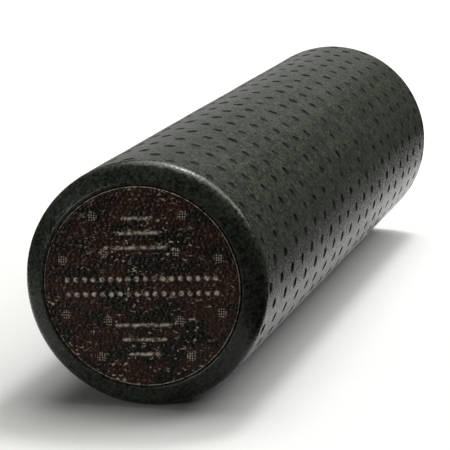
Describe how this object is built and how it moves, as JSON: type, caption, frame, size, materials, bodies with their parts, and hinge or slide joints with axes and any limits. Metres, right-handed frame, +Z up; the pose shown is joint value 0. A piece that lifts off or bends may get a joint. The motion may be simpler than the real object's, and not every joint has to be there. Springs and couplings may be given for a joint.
{
  "type": "foam roller",
  "caption": "Solid round foam roller for massage and exercise, with rounded shoulders, staggered dimples on the barrel and a flush disc in each end.",
  "frame": {"origin": "on the floor midway along the roller, straight below its axis", "axes": "+Y along the roller's axis towards the rear end, +X to the right seen from the front end, +Z up"},
  "size_m": [0.1524, 0.6096, 0.1522],
  "materials": {
    "sleeve_foam": "satin",
    "core_foam": "matte",
    "disc_foam": "satin"
  },
  "bodies": {
    "root": {"outer_sleeve": "sleeve_foam", "inner_core": "core_foam", "front_end_disc": "disc_foam", "rear_end_disc": "disc_foam"}
  },
  "joints": []
}
